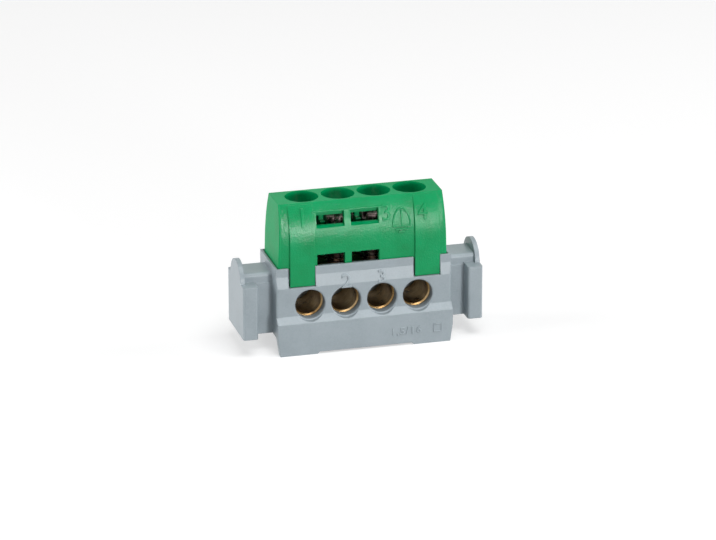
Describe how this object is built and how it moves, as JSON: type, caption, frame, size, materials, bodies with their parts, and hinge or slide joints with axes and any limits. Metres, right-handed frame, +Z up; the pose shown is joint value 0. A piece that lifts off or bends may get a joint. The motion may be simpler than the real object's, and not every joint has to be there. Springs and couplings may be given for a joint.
{
  "type": "earth terminal bar",
  "caption": "Row of screw terminals for earth wires: brass bar with cross bores and clamp screws in a grey moulded base with end lugs, under a green domed clip-on cover.",
  "frame": {"origin": "middle of the row, midway between front and back, on the level of the feet", "axes": "+X along the row, way 1 at -X and way 4 at +X; the wires enter from -Y; +Z up, out of the screwdriver wells"},
  "size_m": [0.0468, 0.0152, 0.029],
  "materials": {
    "grey_moulding": "satin moulded grey plastic",
    "green_moulding": "satin moulded green plastic with a fine grain",
    "brass": "machined brass, slightly dull in the bores",
    "steel": "bright zinc-plated steel"
  },
  "bodies": {
    "block": {"base": "grey_moulding", "cover": "green_moulding", "terminal_bar": "brass"},
    "clamp_screw_1": {"screw_1": "steel"},
    "clamp_screw_2": {"screw_2": "steel"},
    "clamp_screw_3": {"screw_3": "steel"},
    "clamp_screw_4": {"screw_4": "steel"}
  },
  "joints": [
    {"name": "screw_1_travel", "type": "slide", "parent": "block", "child": "clamp_screw_1", "axis": [0, 0, -1], "range_m": [0, 0.0048]},
    {"name": "screw_2_travel", "type": "slide", "parent": "block", "child": "clamp_screw_2", "axis": [0, 0, -1], "range_m": [0, 0.0048]},
    {"name": "screw_3_travel", "type": "slide", "parent": "block", "child": "clamp_screw_3", "axis": [0, 0, -1], "range_m": [0, 0.0048]},
    {"name": "screw_4_travel", "type": "slide", "parent": "block", "child": "clamp_screw_4", "axis": [0, 0, -1], "range_m": [0, 0.0048]}
  ]
}
